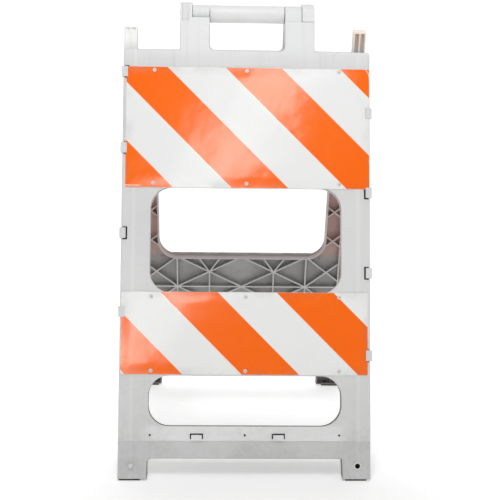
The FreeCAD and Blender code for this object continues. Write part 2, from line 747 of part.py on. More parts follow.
def make_board(board):
    sheet = plate(board_rectangle(board, 0.0, BOARD_CORNER), (FACE, BOARD_FACE))
    return drilled(sheet, board)


def make_stripes(board, phase):
    """(orange, white) stripes of sheeting, running down to the right at 45 degrees."""
    film = plate(board_rectangle(board, FILM_INSET, BOARD_CORNER), (BOARD_FACE, FILM_FACE))
    level = STRIPE * math.sqrt(2)  # a stripe's width along a level line
    rise = board["height"]
    middle_down = board["top"] + rise / 2
    reach = math.ceil((BOARD_WIDTH + 2 * rise) / level)
    colours = ([], [])
    for i in range(-reach, reach + 1):
        centre = board["shift"] + phase + i * level
        lean = ((-level / 2, -rise), (level / 2, -rise), (level / 2, rise), (-level / 2, rise))
        corners = [(centre + across + down, middle_down + down, 0.0) for across, down in lean]
        strip = plate(corners, (BOARD_FACE, FILM_FACE)).common(film)
        colours[i % 2].extend(strip.Solids)
    return [drilled(Part.makeCompound(solids), board) for solids in colours]


def make_rivets(board):
    """(bodies, mandrels) of a board's blind rivets."""
    tail_end = SKIN_BACK - RIVET_TAIL
    head_top = FILM_FACE + RIVET_HEAD
    bodies = []
    mandrels = []
    for across, down in rivet_places(board):
        head = peg(RIVET_HEAD_R, across, down, (FILM_FACE, head_top))
        head = soften(head, RIVET_DOME * RIVET_HEAD, lambda e: lies_at(e, head_top))
        shank = peg(RIVET_R, across, down, (tail_end, head_top - PAST))
        tail = peg(RIVET_TAIL_R, across, down, (tail_end, SKIN_BACK))
        tail = soften(tail, TAIL_ROUND, lambda e: lies_at(e, tail_end))
        bore = peg(MANDREL_R, across, down, (tail_end - PAST, head_top + PAST))
        bodies.append(head.fuse([shank, tail]).cut(bore).removeSplitter())
        stem = peg(MANDREL_R, across, down, (tail_end - MANDREL_OUT, head_top - PAST))
        ball = peg(MANDREL_BALL_R, across, down, (tail_end - 2 * MANDREL_OUT, tail_end))
        mandrels.append(stem.fuse(ball).removeSplitter())
    return Part.makeCompound(bodies), Part.makeCompound(mandrels)


# ---- hinge ----
def make_rod():
    """Steel rod, ending inside its two caps."""
    return soften(rod_cylinder(ROD_R, (-ROD_END, ROD_END)), ROD_ROUND, lambda e: True)


def make_caps():
    """Push-on caps over the rod's two ends."""
    caps = []
    for side in (-1, 1):
        near = side * (POST_OUT - CAP_RECESS + CAP_CLEARANCE / 3)
        far = side * (POST_OUT + CAP_PROUD)
        body = rod_cylinder(CAP_R, (min(near, far), max(near, far)))
        body = soften(body, TIP_ROUND, lambda e: abs(e.CenterOfMass.x - far) < SAME)
        socket = side * (ROD_END + CAP_CLEARANCE / 3)
        caps.append(body.cut(rod_cylinder(ROD_R + CAP_FIT, (min(near, socket), max(near, socket)))))
    return Part.makeCompound(caps)


def make_grip():
    """Tubular hand grip that turns on the rod, with a hub in each end."""
    end = POST_IN
    tube = soften(rod_cylinder(GRIP_R, (-end, end)), GRIP_ROUND, lambda e: True)
    hollow = rod_cylinder(GRIP_R - GRIP_WALL, (-end + GRIP_HUB, end - GRIP_HUB))
    return tube.cut([hollow, rod_cylinder(ROD_R + ROD_CLEARANCE, (-end - PAST, end + PAST))])


# ---- feet ----
def make_pads():
    """Rubber pads under the front feet, each held by two studs, in world coordinates."""
    middle_y, depth = pad_middle_y()
    deep = depth / 2 - PAD_EDGE
    half = PAD_WIDTH / 2
    floor = PAD_HEIGHT + WALL
    pads = []
    for middle in pad_middles():
        corner = FreeCAD.Vector(middle - half, middle_y - deep, 0)
        pad = Part.makeBox(2 * half, 2 * deep, PAD_HEIGHT, corner)
        pads.append(soften(pad, PAD_ROUND, lambda e: e.BoundBox.ZLength > PAST))
    for i, across in enumerate(stud_places()):
        stud = stud_cylinder(STUD_R, across, PAD_HEIGHT - PAST, floor + PAST)
        head = stud_cylinder(STUD_HEAD_R, across, floor + RIVET_CLEARANCE, floor + STUD_HEAD)
        pads[i // 2] = pads[i // 2].fuse([stud, head]).removeSplitter()
    return Part.makeCompound(pads)


def save(shape, name):
    for solid in shape.Solids:
        if not solid.isValid() or solid.Volume <= 0:
            raise ValueError(f"{name} has a bad solid")
    shape.exportStep(f"parts/{name}.step")


def main():
    os.makedirs("parts", exist_ok=True)
    leg = make_leg(BOARDS.values())
    pads = make_pads()
    turns = {"front": FreeCAD.Placement(), "rear": HALF_TURN}
    for side, turn in turns.items():
        placement = turn.multiply(front_placement())
        save(placed(leg, placement), f"{side}_leg")
        save(placed(pads, turn), f"{side}_foot_pads")
        for name, board in BOARDS.items():
            orange, white = make_stripes(board, STRIPE_PHASE[side, name])
            rivets, mandrels = make_rivets(board)
            save(placed(make_board(board), placement), f"{side}_{name}_board")
            save(placed(orange, placement), f"{side}_{name}_orange_sheeting")
            save(placed(white, placement), f"{side}_{name}_white_sheeting")
            save(placed(rivets, placement), f"{side}_{name}_rivets")
            save(placed(mandrels, placement), f"{side}_{name}_rivet_mandrels")
    axis = FreeCAD.Placement(FreeCAD.Vector(0, 0, AXIS_HEIGHT), FreeCAD.Rotation())
    save(placed(make_rod(), axis), "hinge_rod")
    save(placed(make_caps(), axis), "hinge_rod_caps")
    save(placed(make_grip(), axis), "handle_grip")


main()
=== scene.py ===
"""Finish, small trim, stage and camera for the folding A-frame barricade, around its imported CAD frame.

Everything is in metres in the frame's own axes: +Z up, +X to the right seen from the front, -Y to the front.
Each leg also has its own directions, worked out from the fold joint: across it, down it from the hinge rod,
and out of its face.
"""

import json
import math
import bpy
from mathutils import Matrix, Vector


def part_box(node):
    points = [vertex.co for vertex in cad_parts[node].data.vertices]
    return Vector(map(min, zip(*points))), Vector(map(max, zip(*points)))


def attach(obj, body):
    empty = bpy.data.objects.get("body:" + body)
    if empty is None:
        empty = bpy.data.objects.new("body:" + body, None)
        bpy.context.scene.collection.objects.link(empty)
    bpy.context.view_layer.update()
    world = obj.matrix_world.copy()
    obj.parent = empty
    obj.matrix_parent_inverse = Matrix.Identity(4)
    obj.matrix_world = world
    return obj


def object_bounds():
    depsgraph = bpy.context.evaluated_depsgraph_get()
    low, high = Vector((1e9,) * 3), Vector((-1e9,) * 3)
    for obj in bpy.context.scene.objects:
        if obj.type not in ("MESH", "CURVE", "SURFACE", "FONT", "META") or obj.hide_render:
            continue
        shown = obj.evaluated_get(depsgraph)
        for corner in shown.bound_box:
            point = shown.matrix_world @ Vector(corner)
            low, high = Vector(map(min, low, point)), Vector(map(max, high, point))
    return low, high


bl_info = {
    "name": "A-frame barricade finish",
    "version": (1, 0, 0),
    "blender": (4, 5, 0),
    "location": "3D View > Sidebar > Barricade",
    "description": "Moulded plastic, striped reflective sheeting and trim for a folding A-frame barricade",
    "category": "Object",
}

import bmesh
import bpy
from bpy.props import FloatProperty, FloatVectorProperty, IntProperty, PointerProperty
from mathutils import Matrix, Quaternion, Vector

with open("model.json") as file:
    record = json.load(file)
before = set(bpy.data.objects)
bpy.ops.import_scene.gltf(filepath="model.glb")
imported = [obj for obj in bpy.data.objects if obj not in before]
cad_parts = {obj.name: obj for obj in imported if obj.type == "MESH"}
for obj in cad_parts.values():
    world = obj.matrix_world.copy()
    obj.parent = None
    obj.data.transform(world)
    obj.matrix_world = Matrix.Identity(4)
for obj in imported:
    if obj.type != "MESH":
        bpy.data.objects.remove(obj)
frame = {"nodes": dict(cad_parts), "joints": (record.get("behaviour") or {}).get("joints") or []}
CAD_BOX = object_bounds()
SIDES = ("front", "rear")
BOARDS = ("upper", "lower")
FOLD = next(joint for joint in frame["joints"] if joint["name"] == "leg_fold")
AXIS_POINT = Vector(FOLD["pos_m"])
LEAN = math.radians(FOLD["range_deg"][1]) / 2
MM = 0.001


# ---- where things are, from the frame ----
class Leg:
    """One leg's own directions: across, down from the rod's axis, and out of its face."""

    def __init__(self, side):
        sign = -1 if side == "front" else 1
        self.side = side
        self.body = side + "_frame"
        self.across = Vector((-sign, 0, 0))
        self.down = Vector((0, sign * math.sin(LEAN), -math.cos(LEAN)))
        self.out = Vector((0, sign * math.cos(LEAN), math.sin(LEAN)))

    def span(self, node):
        """Lowest and highest (across, down, out) of a node's points."""
        points = []
        for vertex in frame["nodes"][node].data.vertices:
            offset = vertex.co - AXIS_POINT
            points.append((offset.dot(self.across), offset.dot(self.down), offset.dot(self.out)))
        lows = [min(values) for values in zip(*points)]
        highs = [max(values) for values in zip(*points)]
        return lows, highs

    def turn(self):
        """Matrix whose X, Y and Z are across, up and out of the leg, at the rod's axis."""
        columns = (self.across, -self.down, self.out)
        return Matrix.Translation(AXIS_POINT) @ Matrix(columns).transposed().to_4x4()


LEGS = {side: Leg(side) for side in SIDES}
FACE_OUT = LEGS["front"].span("front_upper_board")[0][2]
HALF_WIDTH = 0.3095
LEG_LENGTH = (AXIS_POINT.z + FACE_OUT * math.sin(LEAN)) / math.cos(LEAN)
STEP_DOWN = LEG_LENGTH - 97.3 * MM
STEP_DEPTH = 2.5 * MM
COLLAR = 3.0 * MM
# places down the leg of the clips on each side, over its length, and across it on the bottom rail
LEFT_CLIPS = (0.1357, 0.3003, 0.4821, 0.6480)
RIGHT_CLIPS = (0.2206, 0.3921, 0.5636, 0.7376)
RAIL_CLIPS = (-118.0 * MM, 82.4 * MM)
SLOT_MIDDLE = 9.5 * MM
SLOT_HALF = 5.5 * MM
HOLE_DOWN = LEG_LENGTH - 112.0 * MM
HOLE_PLACES = (-231.8 * MM, 0.0, 231.8 * MM)
CLIP_LENGTH = 32.0 * MM
RAIL_CLIP_HEIGHT = 13.0 * MM
RAIL_CLIP_DOWN = LEG_LENGTH - 109.5 * MM
SLOT_PLAY = 0.03 * MM
STRIPE = 101.6 * MM
# middle of an orange stripe along each board's level centre line, from its middle
STRIPE_PHASE = {
    ("front", "upper"): -121.1 * MM,
    ("front", "lower"): -36.9 * MM,
    ("rear", "upper"): 58.0 * MM,
    ("rear", "lower"): -96.0 * MM,
}
SOCKET_PLACE = (HALF_WIDTH - 32.5 * MM, LEG_LENGTH - 38.0 * MM)
SOCKET_BORE = 6.45 * MM
PIN_RADIUS = 9.4 * MM
RIB_LINE = HALF_WIDTH - 30.5 * MM
WALL_INSIDE = HALF_WIDTH - 7.0 * MM
SHOULDER_POST_IN = HALF_WIDTH - 45.0 * MM
SHOULDER_POST_END = 0.105
HINGE_END = 0.104
UPPER_WINDOW = (0.44, 0.73)  # down the leg, with the strips of dust, painted shade and painted warm light round it
LOWER_WINDOW = LEG_LENGTH - 0.26
CREASE_RADIUS = 35.4 * MM
CREASE_CENTRE = (35.3 * MM, 24.8 * MM)  # in and up from the upper board's top right corner
CRIMP_LINE = 5.5 * MM  # above the upper board's bottom edge


# ---- shader writing ----
class Mask:
    """A number that varies over a surface. Arithmetic on it adds Math nodes."""

    def __init__(self, paint, socket):
        self.paint = paint
        self.socket = socket

    def math(self, operation, *values):
        return self.paint.node("ShaderNodeMath", {"operation": operation}, dict(enumerate(values)))

    def __add__(self, other):
        return self.math("ADD", self, other)

    def __radd__(self, other):
        return self.math("ADD", other, self)

    def __sub__(self, other):
        return self.math("SUBTRACT", self, other)

    def __rsub__(self, other):
        return self.math("SUBTRACT", other, self)

    def __mul__(self, other):
        return self.math("MULTIPLY", self, other)

    def __rmul__(self, other):
        return self.math("MULTIPLY", other, self)

    def __abs__(self):
        return self.math("ABSOLUTE", self)

    def either(self, other):
        """The larger of two masks."""
        return self.math("MAXIMUM", self, other)

    def both(self, other):
        """The smaller of two masks."""
        return self.math("MINIMUM", self, other)


class Paint:
    """Builds one material's nodes."""

    def __init__(self, name):
        self.material = bpy.data.materials.new(name)
        self.material.use_nodes = True
        self.tree = self.material.node_tree
        self.tree.nodes.clear()
        self.shader = self.tree.nodes.new("ShaderNodeBsdfPrincipled")
        output = self.tree.nodes.new("ShaderNodeOutputMaterial")
        self.tree.links.new(self.shader.outputs["BSDF"], output.inputs["Surface"])
        self.point = self.node("ShaderNodeTexCoord", {}, {}, "Object")

    def feed(self, socket, value):
        """Sets a socket, or links a mask to it."""
        if isinstance(value, Mask):
            self.tree.links.new(value.socket, socket)
        elif hasattr(socket.default_value, "__len__") and hasattr(value, "__len__"):
            size = len(socket.default_value)
            socket.default_value = (tuple(value) + (1.0,))[:size]
        else:
            socket.default_value = value

    def node(self, kind, settings, values, output=0):
        """Adds a node: its settings first, then its sockets' values or links. Returns one output."""
        made = self.tree.nodes.new(kind)
        for name, value in settings.items():
            setattr(made, name, value)
        for key, value in values.items():
            self.feed(made.inputs[key], value)
        return Mask(self, made.outputs[output])

    def along(self, direction, origin=AXIS_POINT):
        """Distance of the point from origin along a direction, in metres."""
        offset = self.node("ShaderNodeVectorMath", {"operation": "SUBTRACT"}, {0: self.point, 1: origin})
        return self.dot(offset, direction)

    def dot(self, first, second):
        """Dot product of two vectors."""
        values = {0: first, 1: second}
        return self.node("ShaderNodeVectorMath", {"operation": "DOT_PRODUCT"}, values, "Value")

    def reach(self, x, y):
        """Length of a flat offset."""
        offset = self.vector(x, y, 0.0)
        return self.node("ShaderNodeVectorMath", {"operation": "LENGTH"}, {0: offset}, "Value")

    def facing(self, direction):
        """How squarely the true surface faces a direction, from -1 to 1."""
        normal = self.node("ShaderNodeNewGeometry", {}, {}, "True Normal")
        return self.dot(normal, direction)

    def vector(self, x, y, z):
        return self.node("ShaderNodeCombineXYZ", {}, {0: x, 1: y, 2: z})

    def noise(self, size, detail=3.0, roughness=0.55, at=None, distortion=0.0):
        """Noise from 0 to 1 whose features are about size metres across."""
        values = {
            "Vector": at or self.point,
            "Scale": 0.5 / size,
            "Detail": detail,
            "Roughness": roughness,
            "Distortion": distortion,
        }
        return self.node("ShaderNodeTexNoise", {}, values)

    def cells(self, size):
        """Distance from the nearest of scattered points about size metres apart, over that spacing."""
        return self.node("ShaderNodeTexVoronoi", {}, {"Vector": self.point, "Scale": 1 / size})

    def ramp(self, value, low, high, start=0.0, end=1.0):
        """Smooth step of value, from start at low to end at high."""
        values = {"Value": value, "From Min": low, "From Max": high, "To Min": start, "To Max": end}
        return self.node("ShaderNodeMapRange", {"interpolation_type": "SMOOTHSTEP"}, values)

    def mix(self, factor, first, second):
        """Colour between first and second."""
        values = {0: factor, 6: first, 7: second}
        return self.node("ShaderNodeMix", {"data_type": "RGBA"}, values, 2)

    def scratches(self, length, width, amount, turn=0.0):
        """Thin straight marks: noise stretched along one direction, cut off high."""
        rotated = self.node(
            "ShaderNodeMapping", {}, {"Vector": self.point, "Rotation": (0.0, turn, turn / 2)}
        )
        stretched = self.node(
            "ShaderNodeMapping", {}, {"Vector": rotated, "Scale": (1 / length, 1 / length, 1 / width)}
        )
        streaks = self.noise(0.5, 2.0, 0.5, stretched)
        patches = self.noise(length * 2, 2.0)
        return self.ramp(streaks, 0.66 - amount, 0.74 - amount) * self.ramp(patches, 0.50, 0.62)

    def bump(self, height, distance, strength=1.0, normal=None):
        """Surface normal bent by a height from 0 to 1, where 1 stands distance metres out."""
        values = {"Height": height, "Distance": distance, "Strength": strength}
        if normal:
            values["Normal"] = normal
        return self.node("ShaderNodeBump", {}, values)

    def soft_edges(self, radius):
        """Normal that is rounded over sharp edges."""
        return self.node("ShaderNodeBevel", {"samples": 4}, {"Radius": radius})

    def finish(self, **sockets):
        """Feeds the shader's sockets, named with underscores for spaces, and returns the material."""
        for name, value in sockets.items():
            self.feed(self.shader.inputs[name.replace("_", " ").title().replace("Ior", "IOR")], value)
        return self.material


def moulded_plastic(name, leg, look):
    """Off-white polyethylene that has stood outdoors: grain, scuffs, dust inside and splashes low down, with
    painted light and shade on it.
    """
    paint = Paint(name)
    across = paint.along(leg.across)
    down = paint.along(leg.down)
    out = paint.along(leg.out)
    height = paint.along(Vector((0, 0, 1)), Vector())
    cloudy = paint.noise(0.16, 4.0)
    blotch = paint.noise(0.05, 4.0, 0.6)
    colour = paint.mix(paint.ramp(cloudy, 0.35, 0.68), look.plastic, look.plastic_shade)
    colour = paint.mix(paint.ramp(paint.noise(0.30, 2.0), 0.45, 0.75) * 0.35, colour, look.plastic_aged)

    # painted light: the handle end is painted palest and the rail paler than the stiles; the shoulder posts
    # are painted paler, the rear one peach, as painted light
    # painted light: paler towards the handle end and on the rail
    painted_light = paint.ramp(down, 0.135, 0.085) * 0.32
    rail = paint.ramp(down, STEP_DOWN - 0.045, STEP_DOWN - 0.030)
    rail = rail * paint.ramp(down, STEP_DOWN, STEP_DOWN - MM)
    painted_light = painted_light + rail * paint.ramp(abs(across), HALF_WIDTH - 0.045, HALF_WIDTH - 0.085) * 0.42
    colour = paint.mix(painted_light, colour, (0.86, 0.87, 0.87))
    # painted light on the shoulder posts: the front one painted paler against its shade, the rear one peach
    # for the orange light that reaches it
    post_light = paint.ramp(across, 20 * MM - SHOULDER_POST_IN, -SHOULDER_POST_IN)
    post_light = post_light * paint.ramp(down, SHOULDER_POST_END, SHOULDER_POST_END - 35 * MM)
    post_light_colour = (0.92, 0.91, 0.89) if leg.side == "front" else (1.0, 0.85, 0.74)
    colour = paint.mix(post_light * 0.75, colour, post_light_colour)

    # plastic shrinks into faint dents over the ribs, bumped into the face below, and the lines are painted
    # paler as a painted highlight
    sink_and_highlight = paint.ramp(abs(abs(across) - RIB_LINE), 2.0 * MM, 6.0 * MM, 1.0, 0.0)
    face = paint.ramp(paint.facing(leg.out), 0.85, 0.95)
    colour = paint.mix(sink_and_highlight * face * 0.15, colour, (0.88, 0.89, 0.88))

    # dust and painted shade behind the skin, darker deeper in, so the ribs' free edges stay paler, and
    # darkest in the feet
    walls = paint.ramp(abs(across), WALL_INSIDE, WALL_INSIDE + MM, 1.0, 0.0)
    below_hinge = paint.ramp(down, HINGE_END, HINGE_END + 4 * MM)
    behind = paint.ramp(out, FACE_OUT - 2.8 * MM, FACE_OUT - 3.6 * MM) * walls * below_hinge
    deep = paint.ramp(out, 9.0 * MM, 17.0 * MM)
    dust_and_shade = behind * (0.20 + 0.60 * deep) * paint.ramp(blotch, 0.15, 0.60, 0.60, 1.0)
    top, bottom = UPPER_WINDOW
    open_zone = paint.ramp(down, top, top + 0.03) * paint.ramp(down, bottom - 0.03, bottom, 1.0, 0.0)
    low_zone = paint.ramp(down, LOWER_WINDOW, LOWER_WINDOW + 0.04)
    dust_and_shade = (dust_and_shade + behind * open_zone * 0.22).either(behind * low_zone * 1.05)
    # painted warm light: the dust inside the upper window's strips is tinted warm for the light that comes
    # through the skin
    dust = paint.mix(open_zone, look.dirt, look.warm_inner_light)
    # mud and painted shade: the feet and bottom rail inside are painted dark brown
    dust = paint.mix(low_zone, dust, look.foot_dirt_and_shade)
    colour = paint.mix(dust_and_shade * look.inner_dust_and_shade, colour, dust)

    # the pin's face and the socket's collar are painted paler, and the socket's bore is painted near black,
    # as painted shade in the hole
    knob = paint.reach(abs(across) - SOCKET_PLACE[0], down - SOCKET_PLACE[1])
    low_face = FACE_OUT - STEP_DEPTH
    pale_knob = paint.ramp(knob, PIN_RADIUS + 0.8 * MM, PIN_RADIUS)
    pale_knob = pale_knob * paint.ramp(out, low_face + 0.2 * MM, low_face + 0.8 * MM)
    colour = paint.mix(pale_knob * 0.8, colour, (0.90, 0.90, 0.89))
    bore = paint.reach(across - SOCKET_PLACE[0], down - SOCKET_PLACE[1])
    bore_shade = paint.ramp(bore, SOCKET_BORE, SOCKET_BORE - 0.15 * MM)
    bore_shade = bore_shade * paint.ramp(out, FACE_OUT + 0.4 * MM, FACE_OUT - 0.6 * MM)
    colour = paint.mix(bore_shade, colour, (0.010, 0.008, 0.008))

    # splashes near the ground, and rain streaks running down
    splash = paint.ramp(height, 0.22, 0.0) * paint.ramp(blotch + paint.noise(0.009, 4.0) * 0.5, 0.62, 0.98)
    streak_at = paint.vector(across * 60.0, down * 2.0, out * 20.0)
    streaks = paint.ramp(paint.noise(0.5, 3.0, 0.5, streak_at), 0.54, 0.74)
    colour = paint.mix((splash * 0.30 + streaks * 0.06) * look.wear, colour, look.dirt)
    # painted shade: the face is painted greyer below its step
    colour = paint.mix(paint.ramp(down, STEP_DOWN - MM, STEP_DOWN + MM) * 0.30, colour, (0.42, 0.42, 0.43))
    # painted highlight: a thin pale line along the step's edge
    step_highlight = paint.ramp(abs(down - STEP_DOWN), 2.2 * MM, 1.0 * MM) * paint.ramp(out, low_face, FACE_OUT)
    colour = paint.mix(step_highlight * 0.5, colour, (0.92, 0.92, 0.91))

    # scattered specks, and dark and pale rub marks
    specks = paint.ramp(paint.cells(0.021), 0.055, 0.02) * paint.ramp(paint.noise(0.09, 2.0), 0.50, 0.60)
    colour = paint.mix(specks * 0.5 * look.wear, colour, (0.20, 0.17, 0.14))
    dark_rub = paint.scratches(0.050, 0.0012, 0.02, 0.5)
    pale_rub = paint.scratches(0.035, 0.0008, 0.03, -0.7)
    colour = paint.mix(dark_rub * 0.35 * look.wear, colour, (0.30, 0.29, 0.28))
    colour = paint.mix(pale_rub * 0.55 * look.wear, colour, (0.93, 0.93, 0.92))

    rough = 0.40 + 0.16 * blotch + 0.12 * pale_rub + 0.20 * dust_and_shade
    grain = paint.noise(0.0009, 2.0, 0.6)
    orange_peel = paint.noise(0.012, 2.0)
    relief = grain * 0.10 + orange_peel * 0.55 + cloudy * 1.0
    relief = relief - (dark_rub + pale_rub) * 0.12 - sink_and_highlight * face * 0.25
    normal = paint.bump(relief, 0.45 * MM, 0.8, paint.soft_edges(1.1 * MM))
    return paint.finish(
        base_color=colour, roughness=rough, normal=normal, ior=1.51, subsurface_weight=0.06,
        subsurface_radius=(0.006, 0.006, 0.005), subsurface_scale=1.0,
    )


def worn_grip(name, look):
    """The handle's plastic: polished by hands in the middle, grimy where they end."""
    paint = Paint(name)
    along = paint.along(Vector((1, 0, 0)))
    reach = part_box("handle_grip")[1].x
    held = paint.ramp(abs(along), reach * 0.55, reach * 0.95, 1.0, 0.0)
    blotch = paint.noise(0.025, 4.0, 0.6)
    ends = paint.ramp(abs(along), reach * 0.45, reach * 0.9)
    grime = paint.ramp(blotch, 0.48, 0.70) * (0.15 + 0.55 * ends)
    colour = paint.mix(paint.ramp(paint.noise(0.08), 0.35, 0.7), look.plastic, look.plastic_shade)
    colour = paint.mix(0.34, colour, (0.86, 0.87, 0.86))
    colour = paint.mix(grime * 0.35 * look.wear, colour, look.dirt)
    parting = paint.ramp(abs(paint.along(Vector((0, 1, 0)))), 0.25 * MM, 0.8 * MM, 1.0, 0.0)
    rub = paint.scratches(0.030, 0.0010, 0.03, 0.2)
    colour = paint.mix(rub * 0.4 * look.wear, colour, (0.42, 0.41, 0.39))
    rough = 0.46 - 0.14 * held + 0.10 * blotch
    relief = paint.noise(0.0009, 2.0) * 0.12 + paint.noise(0.010, 2.0) * 0.5 + parting * 0.5 - rub * 0.2
    normal = paint.bump(relief, 0.4 * MM, 0.8, paint.soft_edges(1.0 * MM))
    return paint.finish(base_color=colour, roughness=rough, normal=normal, ior=1.51)


def sheeting(name, leg, board, colour, faded, gloss, look):
    """Glossy reflective sheeting: glass-bead sparkle under a clear skin that ripples with the board."""
    paint = Paint(name)
    low, high = leg.span(f"{leg.side}_{board}_board")
    across = paint.along(leg.across)
    down = paint.along(leg.down)
    middle = ((low[0] + high[0]) / 2, (low[1] + high[1]) / 2)
    half = ((high[0] - low[0]) / 2, (high[1] - low[1]) / 2)
    edge = (half[0] - abs(across - middle[0])).both(half[1] - abs(down - middle[1]))

    broad = paint.noise(0.20, 2.0)
    base = paint.mix(paint.ramp(broad, 0.35, 0.70) * 0.5, colour, faded)
    beads = paint.cells(0.0011)
    base = paint.mix(paint.ramp(beads, 0.75, 0.15) * 0.10, base, tuple(0.45 * value for value in colour))
    chips = paint.ramp(edge, 1.8 * MM, 0.4 * MM) * paint.ramp(paint.noise(0.005, 4.0, 0.65), 0.58, 0.66)
    base = paint.mix(chips * 0.8, base, (0.86, 0.84, 0.80))
    haze = paint.ramp(edge, 26 * MM, 2 * MM) * paint.ramp(paint.noise(0.03, 4.0), 0.40, 0.75)
    base = paint.mix(haze * 0.22 * look.wear, base, look.dirt)
    specks = paint.ramp(paint.cells(0.034), 0.032, 0.014) * paint.ramp(paint.noise(0.11, 2.0), 0.47, 0.55)
    base = paint.mix(specks * 0.75 * look.wear, base, (0.16, 0.10, 0.08))

    # the overlay's cut edges show as thin cream lines along the stripes
    level = STRIPE * math.sqrt(2)
    turns = (across - middle[0] - STRIPE_PHASE[leg.side, board] - down + middle[1]) * (1 / level) + 0.5
    cut = abs(turns.math("WRAP", turns, 0.5, -0.5)) * STRIPE
    base = paint.mix(paint.ramp(cut, 1.3 * MM, 0.5 * MM) * 0.65, base, (0.93, 0.86, 0.78))
    if board == "upper":
        corner = (middle[0] + half[0], middle[1] - half[1])
        from_corner = (across - corner[0], down - corner[1])
        centre = (from_corner[0] + CREASE_CENTRE[0], from_corner[1] - CREASE_CENTRE[1])
        arc = abs(paint.reach(*centre) - CREASE_RADIUS)
        near = paint.ramp(from_corner[0], -13 * MM, -11 * MM) * paint.ramp(from_corner[1], 26 * MM, 22 * MM)
        crease = paint.ramp(arc, 1.6 * MM, 0.4 * MM) * near
        crimp_at = abs(middle[1] + half[1] - CRIMP_LINE - down + paint.noise(0.03) * 1.5 * MM)
        crimp = paint.ramp(crimp_at, 1.5 * MM, 0.4 * MM)
        crimp = crimp * paint.ramp(across - middle[0] + half[0], 45 * MM, 30 * MM)
        crease = crease.either(crimp * paint.ramp(paint.noise(0.012), 0.35, 0.5))
        base = paint.mix(crease * 0.85, base, (0.97, 0.80, 0.66))
    else:
        crease = 0.0
    scratch = paint.scratches(0.045, 0.0007, 0.02, 0.9).either(paint.scratches(0.030, 0.0006, 0.01, -0.4))
    base = paint.mix(scratch * 0.10 * look.wear, base, (0.88, 0.80, 0.74))

    rough = 0.09 + 0.06 * paint.noise(0.02, 3.0) + 0.12 * scratch + 0.35 * chips + 0.10 * haze
    ripple = paint.noise(0.11, 1.0, 0.4, distortion=0.6)
    pull = paint.ramp(edge, 30 * MM, 0.0)
    relief = ripple * look.ripple + paint.noise(0.028, 2.0) * 0.35 - pull * 0.5
    relief = relief - scratch * 0.03 - chips * 0.12 + crease * 0.25
    skin = paint.bump(relief + beads * 0.004, 1.6 * MM, 0.9)
    return paint.finish(base_color=base, roughness=rough, normal=skin, ior=1.5, specular_ior_level=gloss)


def sheet_plastic(name, look):
    """White plastic sheet of the boards, seen at their edges: sawn and a little dirty."""
    paint = Paint(name)
    saw = paint.noise(0.0012, 2.0)
    colour = paint.mix(paint.ramp(paint.noise(0.02, 4.0), 0.40, 0.70) * 0.4, (0.80, 0.80, 0.79), look.dirt)
    colour = paint.mix(saw * 0.12, colour, (0.55, 0.53, 0.50))
    normal = paint.bump(saw * 0.6 + paint.noise(0.02) * 0.4, 0.15 * MM, 0.7)
    return paint.finish(base_color=colour, roughness=0.38 + 0.2 * saw, normal=normal, ior=1.5)


def dull_metal(name, colour, tarnish, bare, rough, brushed, wear):
    """Rivet aluminium, zinc plate or broken steel, by its colours and how far it is brushed."""
    paint = Paint(name)
    spots = paint.noise(0.0022, 4.0, 0.65)
    tone = paint.mix(paint.ramp(spots, 0.42, 0.72) * wear, colour, tarnish)
    turned_at = paint.node("ShaderNodeMapping", {}, {"Vector": paint.point, "Scale": (1, 30, 30)})
    lines = paint.noise(0.004, 2.0, 0.6, turned_at)
    relief = lines * brushed + spots * 0.4
    normal = paint.bump(relief, 0.06 * MM, 0.8, paint.soft_edges(0.35 * MM))
    metal = bare - 0.45 * bare * paint.ramp(spots, 0.50, 0.80) * wear
    return paint.finish(base_color=tone, metallic=metal, roughness=rough + 0.18 * spots, normal=normal)


def ground_rubber(name, look):
    """Black rubber foot, dusty and scraped by the road."""
    paint = Paint(name)
    height = paint.along(Vector((0, 0, 1)), Vector())
    grit = paint.noise(0.003, 4.0, 0.65)
    dust = paint.ramp(grit + paint.ramp(height, 4 * MM, 0.0) * 0.25, 0.45, 0.85)
    colour = paint.mix(dust * 0.55 * look.wear, (0.020, 0.016, 0.016), (0.20, 0.17, 0.14))
    ribs = paint.node("ShaderNodeTexWave", {"bands_direction": "X"}, {"Vector": paint.point, "Scale": 80.0})
    normal = paint.bump(grit * 0.6 + ribs * 0.2, 0.5 * MM, 0.8, paint.soft_edges(0.6 * MM))
    return paint.finish(base_color=colour, roughness=0.70 + 0.2 * grit, normal=normal, ior=1.5)


